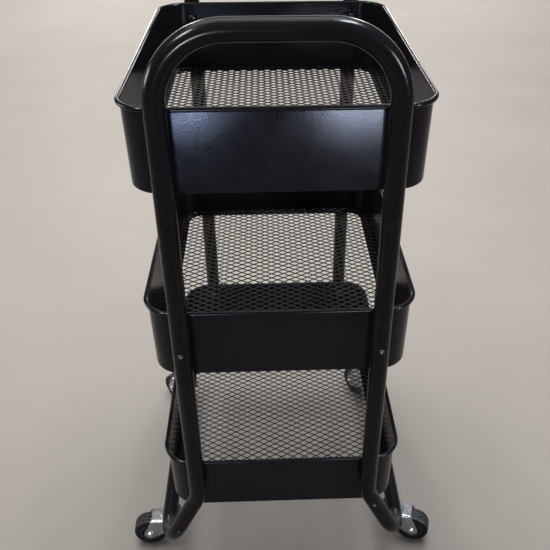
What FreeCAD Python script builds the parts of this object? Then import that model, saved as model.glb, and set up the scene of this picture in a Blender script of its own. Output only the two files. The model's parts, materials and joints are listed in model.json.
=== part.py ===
"""Rolling salon trolley: three sheet-metal trays between two bent-tube hoops,
on two U-shaped base tubes with four swivel casters.

Frame of the model: +Z up, Z = 0 on the floor, X across the short side, Y along
the long side, origin under the middle of the trolley.  Millimetres.
"front" is the -Y end, "left" is the -X side.
"""
import FreeCAD, Part
import math
import os

import Sketcher

V = FreeCAD.Vector
doc = FreeCAD.newDocument("salon_trolley")

# ---------------------------------------------------------------- the sheet
sheet = doc.addObject("Spreadsheet::Sheet", "sizes")
sheet.Label = "sizes"

SIZES = [
    # frame tubes
    ("tube_od", 24.0, "outer diameter of every frame tube"),
    ("tube_wall", 1.3, "wall of the frame tubes"),
    ("leg_x", 126.0, "centre of the hoop legs, from the middle plane"),
    ("leg_y", 244.5, "centre plane of each hoop, from the middle plane"),
    ("hoop_top_z", 872.0, "centre of the handle rail"),
    ("hoop_bend", 75.0, "centreline radius of the two hoop bends"),
    ("seam_z", 483.0, "joint between hoop legs and base tube legs"),
    ("kink_z", 200.0, "where the base legs turn outwards"),
    ("kink_bend", 60.0, "centreline radius of that turn"),
    ("run_x", 186.0, "centre of the floor runs"),
    ("run_z", 77.0, "height of the floor runs"),
    ("run_bend", 65.0, "centreline radius where a leg turns into the run"),
    ("spigot_rad", 10.6, "plug inside the tube joints"),
    ("spigot_half", 40.0, "length of the plug above and below the joint"),
    ("seam_half", 0.45, "half of the narrow gap that shows at each joint"),
    ("joint_screw_z", 478.6, "small screw that holds the base leg on the plug"),
    ("joint_hole", 2.7, "hole for its head in the base leg"),
    ("joint_tap", 2.5, "its hole in the plug"),
    # trays
    ("tray_half_w", 176.0, "half width over the rolled rim"),
    ("tray_half_l", 232.0, "half length over the rolled rim"),
    ("tray_corner", 45.0, "plan corner radius over the rim"),
    ("tray_sheet", 1.2, "thickness of the tray sheet metal"),
    ("tray_draft", 1.8, "how far the wall leans in from rim to floor"),
    ("rim_rad", 3.0, "outer radius of the rolled rim"),
    ("flange_w", 15.0, "floor flange turned in under the mesh"),
    ("floor_bend", 2.4, "outer radius between wall and floor flange"),
    ("tray_depth", 102.0, "depth of the top tray"),
    ("tray_depth_mid", 104.0, "depth of the middle tray"),
    ("tray_depth_low", 98.5, "depth of the bottom tray"),
    ("top_rim_z", 791.0, "rim height of the top tray"),
    ("mid_rim_z", 527.0, "rim height of the middle tray"),
    ("low_rim_z", 257.0, "rim height of the bottom tray"),
    ("mesh_sheet", 0.5, "plate that stands for the expanded mesh"),
    ("mesh_gap", 4.0, "gap between mesh edge and wall"),
    ("fix_drop", 23.0, "tray screws below the rim"),
    # tray fixings, M6
    ("bolt_rad", 2.95, "shank of the tray screws"),
    ("bolt_bore", 3.2, "clearance holes for them"),
    ("bolt_tap", 3.0, "tapped holes for them"),
    ("bolt_head_rad", 5.25, "button head"),
    ("bolt_head_thk", 3.2, "button head height"),
    ("bolt_len", 20.0, "length under the head"),
    ("washer_rad", 9.0, "large washer"),
    ("washer_thk", 1.5, "large washer thickness"),
    ("washer_form", 1.3, "extra thickness that follows the wall into the corner"),
    ("spacer_rad", 7.0, "saddle spacer between wall and leg"),
    ("insert_rad", 4.5, "threaded insert in the leg wall"),
    ("insert_len", 13.0, "its length"),
    # casters
    ("caster_x", 186.0, "swivel axis, from the middle plane"),
    ("caster_y", 165.0, "swivel axis, from the middle plane"),
    ("wheel_rad", 27.0, "tyre radius"),
    ("wheel_w", 25.0, "tyre width"),
    ("hub_w", 25.6, "hub width over the bosses"),
    ("hub_rad", 18.0, "radius of the wheel centre inside the tyre"),
    ("trail", 38.5, "offset of the axle behind the swivel axis"),
    ("axle_rad", 3.0, "axle bolt"),
    ("hub_bore", 3.06, "bore of the hub on the axle"),
    ("fork_half_w", 15.0, "half width over the fork legs"),
    ("fork_sheet", 1.8, "fork metal"),
    ("fork_top_z", 60.0, "top face of the fork"),
    ("crown_rad", 17.0, "round raceway part of the fork"),
    ("leg_tip", 10.0, "radius of the fork legs around the axle"),
    ("race_rad", 14.0, "radius of the ball circle"),
    ("ball_rad", 1.6, "swivel balls"),
    ("ball_z", 61.3, "centre height of the balls"),
    ("groove_rad", 1.65, "raceway groove"),
    ("cup_rad", 20.0, "upper raceway cup"),
    ("cup_low_z", 60.6, "lower edge of the cup"),
    ("cup_under_z", 62.6, "underside of the cup plate"),
    ("cup_top_z", 64.6, "top of the cup plate"),
    ("stem_rad", 4.95, "threaded stem, M10"),
    ("stem_top_z", 83.0, "top of the stem"),
    ("pin_rad", 4.0, "kingpin through the fork"),
    ("pin_bore", 4.06, "kingpin hole in the fork"),
    ("pin_head_rad", 6.5, "peened head under the fork"),
    ("socket_rad", 7.0, "threaded bush welded in the run"),
    ("socket_bore", 5.0, "its bore"),
    ("socket_top_z", 85.0, "its top end"),
]
VAL = {}
for row, (alias, value, note) in enumerate(SIZES, start=1):
    sheet.set("A%d" % row, alias)
    sheet.set("B%d" % row, repr(value))
    sheet.setAlias("B%d" % row, alias)
    sheet.set("C%d" % row, note)
    VAL[alias] = value
doc.recompute()


class Q:
    """A size: its number now, and the sheet expression that gives it."""

    def __init__(self, num, expr):
        self.num = num
        self.expr = expr

    @staticmethod
    def wrap(other):
        return other if isinstance(other, Q) else Q(float(other), repr(float(other)))

    def __add__(self, o):
        o = Q.wrap(o)
        return Q(self.num + o.num, "(%s + %s)" % (self.expr, o.expr))

    __radd__ = __add__

    def __sub__(self, o):
        o = Q.wrap(o)
        return Q(self.num - o.num, "(%s - %s)" % (self.expr, o.expr))

    def __rsub__(self, o):
        return Q.wrap(o) - self

    def __mul__(self, o):
        o = Q.wrap(o)
        return Q(self.num * o.num, "(%s * %s)" % (self.expr, o.expr))

    __rmul__ = __mul__

    def __truediv__(self, o):
        o = Q.wrap(o)
        return Q(self.num / o.num, "(%s / %s)" % (self.expr, o.expr))

    def __neg__(self):
        return Q(-self.num, "(0 - %s)" % self.expr)


class Sizes:
    def __getattr__(self, name):
        return Q(VAL[name], "sizes.%s" % name)


S = Sizes()
PARTS = []          # (node name, document object)


def keep(obj, name):
    obj.Label = name
    PARTS.append((name, obj))
    return obj


def bind(obj, prop, q):
    q = Q.wrap(q)
    obj.setExpression(prop, q.expr)


# ------------------------------------------------------- sketch and body help
def new_body(name):
    return doc.addObject("PartDesign::Body", name)


def plane(body, role):
    for f in body.Origin.OriginFeatures:
        if f.Role == role:
            return f
    raise RuntimeError("no origin plane " + role)


def new_sketch(body, role, name, offset=None):
    sk = body.newObject("Sketcher::SketchObject", name)
    sk.AttachmentSupport = [(plane(body, role), "")]
    sk.MapMode = "FlatFace"
    if offset is not None:
        sk.AttachmentOffset = FreeCAD.Placement(V(0, 0, Q.wrap(offset).num), FreeCAD.Rotation())
        bind(sk, "AttachmentOffset.Base.z", offset)
    return sk


def pin_point(sk, geo, pos, x, y):
    """Fix one sketch point at sheet-driven coordinates."""
    for q, kind, axis in ((Q.wrap(x), "DistanceX", -2), (Q.wrap(y), "DistanceY", -1)):
        if abs(q.num) < 1e-9:
            sk.addConstraint(Sketcher.Constraint("PointOnObject", geo, pos, axis))
        else:
            i = sk.addConstraint(Sketcher.Constraint(kind, -1, 1, geo, pos, q.num))
            sk.setExpression("Constraints[%d]" % i, q.expr)


def polygon(sk, pts):
    """Closed polygon whose corners all follow the sheet."""
    pts = [(Q.wrap(a), Q.wrap(b)) for a, b in pts]
    n = len(pts)
    ids = []
    for i in range(n):
        a, b = pts[i], pts[(i + 1) % n]
        ids.append(sk.addGeometry(Part.LineSegment(V(a[0].num, a[1].num, 0), V(b[0].num, b[1].num, 0)), False))
    for i in range(n):
        sk.addConstraint(Sketcher.Constraint("Coincident", ids[i], 2, ids[(i + 1) % n], 1))
    for i in range(n):
        pin_point(sk, ids[i], 1, pts[i][0], pts[i][1])
    return ids


def circle(sk, x, y, rad):
    x, y, rad = Q.wrap(x), Q.wrap(y), Q.wrap(rad)
    g = sk.addGeometry(Part.Circle(V(x.num, y.num, 0), V(0, 0, 1), rad.num), False)
    if abs(x.num) < 1e-9 and abs(y.num) < 1e-9:
        sk.addConstraint(Sketcher.Constraint("Coincident", g, 3, -1, 1))
    else:
        pin_point(sk, g, 3, x, y)
    i = sk.addConstraint(Sketcher.Constraint("Radius", g, rad.num))
    sk.setExpression("Constraints[%d]" % i, rad.expr)
    return g


def rounded_rect(sk, hx, hy, rad, start_mid=False):
    """Rectangle with round corners about the origin, driven by the sheet.
    With start_mid the +X side is split at Y = 0, so a path starts there."""
    hx, hy, rad = Q.wrap(hx), Q.wrap(hy), Q.wrap(rad)
    x, y, r = hx.num, hy.num, rad.num
    lines = []
    if start_mid:
        lines.append(((x, 0), (x, y - r)))
    else:
        lines.append(((x, -(y - r)), (x, y - r)))
    lines += [((x - r, y), (-(x - r), y)), ((-x, y - r), (-x, -(y - r))), ((-(x - r), -y), (x - r, -y))]
    if start_mid:
        lines.append(((x, -(y - r)), (x, 0)))
    L = [sk.addGeometry(Part.LineSegment(V(a[0], a[1], 0), V(b[0], b[1], 0)), False) for a, b in lines]
    arcs = []
    for cx, cy, a0 in ((x - r, y - r, 0), (-(x - r), y - r, 90), (-(x - r), -(y - r), 180), (x - r, -(y - r), 270)):
        c = Part.Circle(V(cx, cy, 0), V(0, 0, 1), r)
        arcs.append(sk.addGeometry(Part.ArcOfCircle(c, math.radians(a0), math.radians(a0 + 90)), False))
    last = L[4] if start_mid else L[0]
    pairs = [(L[0], 2, arcs[0], 1), (arcs[0], 2, L[1], 1), (L[1], 2, arcs[1], 1), (arcs[1], 2, L[2], 1),
             (L[2], 2, arcs[2], 1), (arcs[2], 2, L[3], 1), (L[3], 2, arcs[3], 1), (arcs[3], 2, last, 1)]
    for p in pairs:
        sk.addConstraint(Sketcher.Constraint("Tangent", *p))
    if start_mid:
        sk.addConstraint(Sketcher.Constraint("Coincident", L[4], 2, L[0], 1))
        sk.addConstraint(Sketcher.Constraint("PointOnObject", L[0], 1, -1))
    sk.addConstraint(Sketcher.Constraint("Vertical", L[0]))
    sk.addConstraint(Sketcher.Constraint("Horizontal", L[1]))
    sk.addConstraint(Sketcher.Constraint("Vertical", L[2]))
    sk.addConstraint(Sketcher.Constraint("Horizontal", L[3]))
    if start_mid:
        sk.addConstraint(Sketcher.Constraint("Vertical", L[4]))
    for g in arcs[1:]:
        sk.addConstraint(Sketcher.Constraint("Equal", arcs[0], g))
    for kind, g, pos, q in (("DistanceX", L[0], 2, hx), ("DistanceX", L[2], 1, -hx),
                            ("DistanceY", L[1], 1, hy), ("DistanceY", L[3], 1, -hy)):
        i = sk.addConstraint(Sketcher.Constraint(kind, -1, 1, g, pos, q.num))
        sk.setExpression("Constraints[%d]" % i, q.expr)
    i = sk.addConstraint(Sketcher.Constraint("Radius", arcs[0], rad.num))
    sk.setExpression("Constraints[%d]" % i, rad.expr)


def pad(body, sk, length, name, reversed_=False, midplane=False):
    p = body.newObject("PartDesign::Pad", name)
    p.Profile = sk
    p.Length = Q.wrap(length).num
    bind(p, "Length", length)
    p.Reversed = reversed_
    p.Midplane = midplane
    sk.Visibility = False
    return p


def pocket(body, sk, name, length=None, reversed_=False, midplane=False):
    """Pocket that is checked to remove material."""
    doc.recompute()
    before = body.Shape.Volume
    p = body.newObject("PartDesign::Pocket", name)
    p.Profile = sk
    if length is None:
        p.Type = 1                      # through all
    else:
        p.Length = Q.wrap(length).num
        bind(p, "Length", length)
    p.Reversed = reversed_
    p.Midplane = midplane
    doc.recompute()
    if not body.Shape.Volume < before - 0.05:
        raise RuntimeError("%s removes nothing" % name)
    return p


def revolve(body, sk, name, groove=False):
    """Turned about the vertical axis of its sketch."""
    doc.recompute()
    before = body.Shape.Volume if groove else 0.0
    r = body.newObject("PartDesign::Groove" if groove else "PartDesign::Revolution", name)
    r.Profile = sk
    r.ReferenceAxis = (sk, ["V_Axis"])
    r.Angle = 360.0
    doc.recompute()
    if groove and not body.Shape.Volume < before - 0.05:
        raise RuntimeError("%s removes nothing" % name)
    return r


def place(obj, x=0.0, y=0.0, z=0.0, axis=None, angle=0.0):
    x, y, z = Q.wrap(x), Q.wrap(y), Q.wrap(z)
    rot = FreeCAD.Rotation(axis, angle) if axis is not None else FreeCAD.Rotation()
    obj.Placement = FreeCAD.Placement(V(x.num, y.num, z.num), rot)
    for prop, q in (("Placement.Base.x", x), ("Placement.Base.y", y), ("Placement.Base.z", z)):
        bind(obj, prop, q)


def mirrored(src, normal, name):
    m = doc.addObject("Part::Mirroring", name)
    m.Source = src
    m.Normal = normal
    m.Base = V(0, 0, 0)
    return m


def four_corners(src, name):
    """The same piece at the four corners of the trolley, as one group."""
    a = mirrored(src, V(1, 0, 0), name + "_mx")
    b = mirrored(src, V(0, 1, 0), name + "_my")
    c = mirrored(a, V(0, 1, 0), name + "_mxy")
    g = doc.addObject("Part::Compound", name)
    g.Links = [src, a, b, c]
    return keep(g, name)


tube_r = S.tube_od / 2
tube_in = S.tube_od / 2 - S.tube_wall
top_fix_z = S.top_rim_z - S.fix_drop
mid_fix_z = S.mid_rim_z - S.fix_drop
low_fix_z = S.low_rim_z - S.fix_drop

# ---------------------------------------------------------------- end hoops
# One bent tube each: leg, bend, handle rail, bend, leg.  The path lies in the
# hoop's own XZ plane, the ring section at the foot of the left leg.


def make_hoop(name, side):
    body = new_body(name + "_body")
    ps = new_sketch(body, "XZ_Plane", name + "_path")
    x, z0, z1, r = S.leg_x, S.seam_z + S.seam_half, S.hoop_top_z, S.hoop_bend
    X, Z0, Z1, R = x.num, z0.num, z1.num, r.num
    g = [
        ps.addGeometry(Part.LineSegment(V(-X, Z0, 0), V(-X, Z1 - R, 0)), False),
        ps.addGeometry(Part.ArcOfCircle(Part.Circle(V(-X + R, Z1 - R, 0), V(0, 0, 1), R), math.pi / 2, math.pi), False),
        ps.addGeometry(Part.LineSegment(V(-X + R, Z1, 0), V(X - R, Z1, 0)), False),
        ps.addGeometry(Part.ArcOfCircle(Part.Circle(V(X - R, Z1 - R, 0), V(0, 0, 1), R), 0, math.pi / 2), False),
        ps.addGeometry(Part.LineSegment(V(X, Z1 - R, 0), V(X, Z0, 0)), False),
    ]
    for a, pa, b, pb in ((g[0], 2, g[1], 2), (g[1], 1, g[2], 1), (g[2], 2, g[3], 2), (g[3], 1, g[4], 1)):
        ps.addConstraint(Sketcher.Constraint("Tangent", a, pa, b, pb))
    ps.addConstraint(Sketcher.Constraint("Vertical", g[0]))
    ps.addConstraint(Sketcher.Constraint("Vertical", g[4]))
    ps.addConstraint(Sketcher.Constraint("Horizontal", g[2]))
    ps.addConstraint(Sketcher.Constraint("Equal", g[1], g[3]))
    for kind, gg, pos, q in (("DistanceX", g[0], 1, -x), ("DistanceY", g[0], 1, z0), ("DistanceX", g[4], 2, x),
                             ("DistanceY", g[4], 2, z0), ("DistanceY", g[2], 1, z1)):
        i = ps.addConstraint(Sketcher.Constraint(kind, -1, 1, gg, pos, q.num))
        ps.setExpression("Constraints[%d]" % i, q.expr)
    i = ps.addConstraint(Sketcher.Constraint("Radius", g[1], R))
    ps.setExpression("Constraints[%d]" % i, r.expr)
    ring = new_sketch(body, "XY_Plane", name + "_section", z0)
    circle(ring, -x, 0, tube_r)
    circle(ring, -x, 0, tube_in)
    doc.recompute()
    pipe = body.newObject("PartDesign::AdditivePipe", name + "_tube")
    pipe.Profile = ring
    pipe.Spine = ps
    pipe.Mode = 0
    doc.recompute()
    # holes in the inner side of the legs: threaded inserts of the top tray
    # and clearance for the middle tray's screws, drilled one wall deep
    for nm, zz, rad in (("insert", top_fix_z, S.insert_rad + 0.05), ("screw", mid_fix_z, S.bolt_bore)):
        h = new_sketch(body, "XZ_Plane", "%s_%s_holes" % (name, nm))
        circle(h, -x, zz, rad)
        circle(h, x, zz, rad)
        # the sketch normal is -Y: the inner side faces +Y on the front hoop
        pocket(body, h, "%s_%s_cut" % (name, nm), length=tube_r + 1, reversed_=(side > 0))
    place(body, 0, S.leg_y * side, 0)
    return keep(body, name)


make_hoop("front_hoop", -1)
make_hoop("rear_hoop", 1)

# --------------------------------------------------------------- base tubes
# Each base tube is one bent tube: leg, outward kink, bend into the floor run,
# and the same again at the far end.  Its centreline is not flat, so it is a
# wire of straight runs and tangent arcs; the tube is a sweep of two circles.


def rounded_path(points, radii):
    """Straight runs joined by tangent arcs of the given radii."""
    edges = []
    last = points[0]
    for i in range(1, len(points) - 1):
        p0, p1, p2 = points[i - 1], points[i], points[i + 1]
        u = (p0 - p1).normalize()
        w = (p2 - p1).normalize()
        half = u.getAngle(w) / 2.0
        cut = radii[i - 1] / math.tan(half)
        a = p1 + u * cut
        b = p1 + w * cut
        bis = (u + w).normalize()
        centre = p1 + bis * (radii[i - 1] / math.sin(half))
        mid = centre - bis * radii[i - 1]
        edges.append(Part.LineSegment(last, a).toShape())
        edges.append(Part.Arc(a, mid, b).toShape())
        last = b
    edges.append(Part.LineSegment(last, points[-1]).toShape())
    return Part.Wire(edges)


def make_base(name, side):
    spine = doc.addObject("Part::Feature", name + "_centreline")
    lx, ly, sz = VAL["leg_x"] * side, VAL["leg_y"], VAL["seam_z"] - VAL["seam_half"]
    kz, rx, rz = VAL["kink_z"], VAL["run_x"] * side, VAL["run_z"]
    pts = [V(lx, -ly, sz), V(lx, -ly, kz), V(rx, -ly, rz), V(rx, ly, rz), V(lx, ly, kz), V(lx, ly, sz)]
    spine.Shape = rounded_path(pts, [VAL["kink_bend"], VAL["run_bend"], VAL["run_bend"], VAL["kink_bend"]])
    sweeps = []
    for nm, rad in (("outer", tube_r), ("inner", tube_in)):
        c = doc.addObject("Part::Circle", "%s_%s_circle" % (name, nm))
        bind(c, "Radius", rad)
        place(c, S.leg_x * side, -S.leg_y, S.seam_z - S.seam_half)
        sw = doc.addObject("Part::Sweep", "%s_%s_sweep" % (name, nm))
        sw.Sections = [c]
        sw.Spine = (spine, ["Edge%d" % (k + 1) for k in range(len(spine.Shape.Edges))])
        sw.Solid = True
        sw.Frenet = False
        sweeps.append(sw)
    tube = doc.addObject("Part::Cut", name + "_tube")
    tube.Base, tube.Tool = sweeps
    # holes: bottom tray inserts and joint screws in the legs, bush holes below
    tools = []
    for end in (-1, 1):
        c = doc.addObject("Part::Cylinder", "%s_insert_hole_%s" % (name, "f" if end < 0 else "r"))
        bind(c, "Radius", S.insert_rad + 0.05)
        bind(c, "Height", tube_r + 1)
        place(c, S.leg_x * side, S.leg_y * end, low_fix_z, V(1, 0, 0), 90.0 if end > 0 else -90.0)
        tools.append(c)
        c = doc.addObject("Part::Cylinder", "%s_joint_hole_%s" % (name, "f" if end < 0 else "r"))
        bind(c, "Radius", S.joint_hole)
        bind(c, "Height", tube_r + 1)
        place(c, S.leg_x * side, S.leg_y * end, S.joint_screw_z, V(1, 0, 0), -90.0 if end > 0 else 90.0)
        tools.append(c)
        c = doc.addObject("Part::Cylinder", "%s_bush_hole_%s" % (name, "f" if end < 0 else "r"))
        bind(c, "Radius", S.socket_rad + 0.03)
        c.Height = 14.0
        place(c, S.caster_x * side, S.caster_y * end, S.run_z - 14)
        tools.append(c)
    fuse = doc.addObject("Part::MultiFuse", name + "_drills")
    fuse.Shapes = tools
    cut = doc.addObject("Part::Cut", name + "_drilled")
    cut.Base, cut.Tool = tube, fuse
    return keep(cut, name)


make_base("left_base_tube", -1)
make_base("right_base_tube", 1)

# ---------------------------------------------------- joints of the four legs
# A round plug sits inside each hoop leg and base leg; tapped across for the
# middle tray's screw (from inside) and the small joint screw (from outside).
plug = doc.addObject("Part::Cylinder", "plug_blank")
bind(plug, "Radius", S.spigot_rad)
bind(plug, "Height", S.spigot_half * 2)
place(plug, S.leg_x, S.leg_y, S.seam_z - S.spigot_half)
tap1 = doc.addObject("Part::Cylinder", "plug_tray_tap")
bind(tap1, "Radius", S.bolt_tap)
bind(tap1, "Height", S.tube_od)
place(tap1, S.leg_x, S.leg_y + 6.5, mid_fix_z, V(1, 0, 0), 90.0)
tap2 = doc.addObject("Part::Cylinder", "plug_joint_tap")
bind(tap2, "Radius", S.joint_tap)
bind(tap2, "Height", S.tube_od)
place(tap2, S.leg_x, S.leg_y - 3, S.joint_screw_z, V(1, 0, 0), -90.0)
taps = doc.addObject("Part::MultiFuse", "plug_taps")
taps.Shapes = [tap1, tap2]
plug_cut = doc.addObject("Part::Cut", "plug_tapped")
plug_cut.Base, plug_cut.Tool = plug, taps
four_corners(plug_cut, "joint_spigots")

# joint screw: low domed head in the hole of the base leg, shank in the plug
body = new_body("joint_screw_body")
sk = new_sketch(body, "XZ_Plane", "joint_screw_profile")
# turned about the sketch's vertical axis; v = 0 is the tube's outer apex
polygon(sk, [(0, -11.0), (1.9, -11.0), (2.45, -10.4), (2.45, -1.2), (2.6, -1.2), (2.6, 0.9), (2.0, 1.7), (1.0, 2.1), (0, 2.2)])
revolve(body, sk, "joint_screw_turned")
place(body, S.leg_x, S.leg_y + tube_r, S.joint_screw_z, V(1, 0, 0), -90.0)
four_corners(body, "joint_screws")

# -------------------------------------------------------------------- trays
# The shell is one folded strip of sheet: floor flange, bend, leaning wall and
# a rim rolled outwards.  Its section is swept once round the rounded plan.


def make_tray(prefix, rim_z, depth):
    body = new_body(prefix + "_shell_body")
    t, hw, hl = S.tray_sheet, S.tray_half_w, S.tray_half_l
    # distance from the rim's outermost line to the wall's outer face at rim
    rim_r = S.rim_rad
    wall_top = hw - rim_r * 2 + t          # wall outer face under the rim
    wall_low = wall_top - S.tray_draft
    floor_z = rim_z - depth
    path = new_sketch(body, "XY_Plane", prefix + "_plan", rim_z - rim_r)
    rounded_rect(path, hw - rim_r, hl - rim_r, S.tray_corner - rim_r, start_mid=True)
    sec = new_sketch(body, "XZ_Plane", prefix + "_section")
    # corner points of the folded strip, all from the sheet
    rim_cx = hw - rim_r
    rim_cz = rim_z - rim_r
    zb = floor_z + S.floor_bend
    n = lambda q: Q.wrap(q).num
    # flange
    p_fl_in_b = (wall_low - S.flange_w, floor_z)
    p_fl_out_b = (wall_low - S.floor_bend, floor_z)
    p_fl_in_t = (wall_low - S.flange_w, floor_z + t)
    p_fl_out_t = (wall_low - S.floor_bend, floor_z + t)
    p_wall_out_low = (wall_low, zb)
    p_wall_in_low = (wall_low - t, zb)
    p_wall_out_top = (wall_top, rim_cz)
    p_wall_in_top = (wall_top - t, rim_cz)

    def line(a, b):
        g = sec.addGeometry(Part.LineSegment(V(n(a[0]), n(a[1]), 0), V(n(b[0]), n(b[1]), 0)), False)
        return g

    def arc(cx, cz, r, a0, a1):
        c = Part.Circle(V(n(cx), n(cz), 0), V(0, 0, 1), n(r))
        return sec.addGeometry(Part.ArcOfCircle(c, math.radians(a0), math.radians(a1)), False)

    bcx, bcz = wall_low - S.floor_bend, floor_z + S.floor_bend
    curl = 300.0       # the rim rolls outwards and down through this angle
    end = 180.0 - curl
    g_bot = line(p_fl_in_b, p_fl_out_b)
    g_bo = arc(bcx, bcz, S.floor_bend, 270, 360)
    g_wo = line(p_wall_out_low, p_wall_out_top)
    # inner face of the roll, from the wall's outer face round to its lip
    g_ri = arc(rim_cx, rim_cz, rim_r - t, end, 180)
    e = math.radians(end)
    lip_in = (rim_cx.num + (rim_r.num - t.num) * math.cos(e), rim_cz.num + (rim_r.num - t.num) * math.sin(e))
    lip_out = (rim_cx.num + rim_r.num * math.cos(e), rim_cz.num + rim_r.num * math.sin(e))
    g_lip = sec.addGeometry(Part.LineSegment(V(lip_in[0], lip_in[1], 0), V(lip_out[0], lip_out[1], 0)), False)
    g_ro = arc(rim_cx, rim_cz, rim_r, end, 180)
    g_wi = line(p_wall_in_top, p_wall_in_low)
    g_bi = arc(bcx, bcz, S.floor_bend - t, 270, 360)
    g_top = line(p_fl_out_t, p_fl_in_t)
    g_end = line(p_fl_in_t, p_fl_in_b)
    C = Sketcher.Constraint
    for a, pa, b, pb in ((g_bot, 2, g_bo, 1), (g_bo, 2, g_wo, 1), (g_wo, 2, g_ri, 2), (g_ri, 1, g_lip, 1), (g_lip, 2, g_ro, 1),
                         (g_ro, 2, g_wi, 1), (g_wi, 2, g_bi, 2), (g_bi, 1, g_top, 1), (g_top, 2, g_end, 1), (g_end, 2, g_bot, 1)):
        sec.addConstraint(C("Coincident", a, pa, b, pb))
    for gg, pos, pt in ((g_bot, 1, p_fl_in_b), (g_bot, 2, p_fl_out_b), (g_top, 1, p_fl_out_t), (g_top, 2, p_fl_in_t),
                        (g_wo, 1, p_wall_out_low), (g_wo, 2, p_wall_out_top), (g_wi, 1, p_wall_in_top), (g_wi, 2, p_wall_in_low),
                        (g_lip, 1, (Q(lip_in[0], "(%s + (%s) * %.9f)" % (rim_cx.expr, (rim_r - t).expr, math.cos(e))),
                                    Q(lip_in[1], "(%s + (%s) * %.9f)" % (rim_cz.expr, (rim_r - t).expr, math.sin(e))))),
                        (g_lip, 2, (Q(lip_out[0], "(%s + (%s) * %.9f)" % (rim_cx.expr, rim_r.expr, math.cos(e))),
                                    Q(lip_out[1], "(%s + (%s) * %.9f)" % (rim_cz.expr, rim_r.expr, math.sin(e)))))):
        pin_point(sec, gg, pos, Q.wrap(pt[0]), Q.wrap(pt[1]))
    for gg, rr in ((g_bo, S.floor_bend), (g_bi, S.floor_bend - t), (g_ri, rim_r - t), (g_ro, rim_r)):
        i = sec.addConstraint(C("Radius", gg, n(rr)))
        sec.setExpression("Constraints[%d]" % i, rr.expr)
    doc.recompute()
    pipe = body.newObject("PartDesign::AdditivePipe", prefix + "_fold")
    pipe.Profile = sec
    pipe.Spine = path
    pipe.Mode = 0
    doc.recompute()
    # four screw holes in the short walls
    h = new_sketch(body, "XZ_Plane", prefix + "_screw_holes")
    circle(h, -S.leg_x, rim_z - S.fix_drop, S.bolt_bore)
    circle(h, S.leg_x, rim_z - S.fix_drop, S.bolt_bore)
    pocket(body, h, prefix + "_drilled", midplane=True)
    keep(body, prefix + "_shell")

    # mesh floor: plain plate on the flange, clear of the wall all round
    mb = new_body(prefix + "_mesh_body")
    ms = new_sketch(mb, "XY_Plane", prefix + "_mesh_plan", floor_z + t)
    inset_w = wall_low - t - S.mesh_gap
    inset_l = inset_w + hl - hw
    rounded_rect(ms, inset_w, inset_l, S.tray_corner - rim_r * 2 - S.tray_draft - S.mesh_gap)
    pad(mb, ms, S.mesh_sheet, prefix + "_mesh_plate")
    keep(mb, prefix + "_mesh")

    # fixings: screw, washer, saddle spacer at each leg
    fz = rim_z - S.fix_drop
    # wall faces at screw height on the short wall
    lean = S.tray_draft * (S.fix_drop - rim_r) / (depth - rim_r)
    wall_out = hl - rim_r * 2 + t - lean
    wall_in = wall_out - t
    head_y = wall_in - S.washer_thk - S.washer_form
    b = new_body(prefix + "_screw_body")
    s = new_sketch(b, "XZ_Plane", prefix + "_screw_profile")
    # v = 0 under the head, shank towards +v
    hr, ht = S.bolt_head_rad, S.bolt_head_thk
    polygon(s, [(0, -ht), (hr * 0.55, -ht), (hr * 0.86, ht * -0.72), (hr, ht * -0.28), (hr, 0), (S.bolt_rad, 0),
                (S.bolt_rad, S.bolt_len - 0.8), (S.bolt_rad - 0.8, S.bolt_len), (0, S.bolt_len)])
    revolve(b, s, prefix + "_screw_turned")
    hx = new_sketch(b, "XY_Plane", prefix + "_screw_socket", -ht)
    flat = 2.31
    polygon(hx, [(flat * math.cos(math.radians(60 * k)), flat * math.sin(math.radians(60 * k))) for k in range(6)])
    pocket(b, hx, prefix + "_screw_hex", length=1.9, reversed_=True)
    place(b, S.leg_x, head_y, fz, V(1, 0, 0), -90.0)
    four_corners(b, prefix + "_screws")

    # formed washer: flat under the head, its other face shaped to the wall,
    # which leans and starts to turn into the corner here
    disc = doc.addObject("Part::Cylinder", prefix + "_washer_blank")
    bind(disc, "Radius", S.washer_rad)
    bind(disc, "Height", S.washer_thk + S.washer_form - 0.1)
    place(disc, S.leg_x, head_y, fz, V(1, 0, 0), -90.0)
    eye = doc.addObject("Part::Cylinder", prefix + "_washer_eye")
    bind(eye, "Radius", S.bolt_bore)
    eye.Height = 20.0
    place(eye, S.leg_x, head_y - 10, fz, V(1, 0, 0), -90.0)
    ring = doc.addObject("Part::Cut", prefix + "_washer_ring")
    ring.Base, ring.Tool = disc, eye
    w = doc.addObject("Part::Cut", prefix + "_washer_formed")
    w.Base, w.Tool = ring, body
    four_corners(w, prefix + "_washers")

    blank = doc.addObject("Part::Cylinder", prefix + "_spacer_blank")
    bind(blank, "Radius", S.spacer_rad)
    bind(blank, "Height", S.leg_y - wall_out)
    place(blank, S.leg_x, wall_out + 0.35, fz, V(1, 0, 0), -90.0)
    saddle = doc.addObject("Part::Cylinder", prefix + "_spacer_saddle")
    bind(saddle, "Radius", tube_r)
    saddle.Height = 40.0
    place(saddle, S.leg_x, S.leg_y, fz - 20)
    bore = doc.addObject("Part::Cylinder", prefix + "_spacer_bore")
    bind(bore, "Radius", S.bolt_bore)
    bore.Height = 40.0
    place(bore, S.leg_x, wall_out - 10, fz, V(1, 0, 0), -90.0)
    tl = doc.addObject("Part::MultiFuse", prefix + "_spacer_tools")
    tl.Shapes = [saddle, bore]
    sp = doc.addObject("Part::Cut", prefix + "_spacer")
    sp.Base, sp.Tool = blank, tl
    four_corners(sp, prefix + "_spacers")

    if prefix != "middle_tray":
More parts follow.
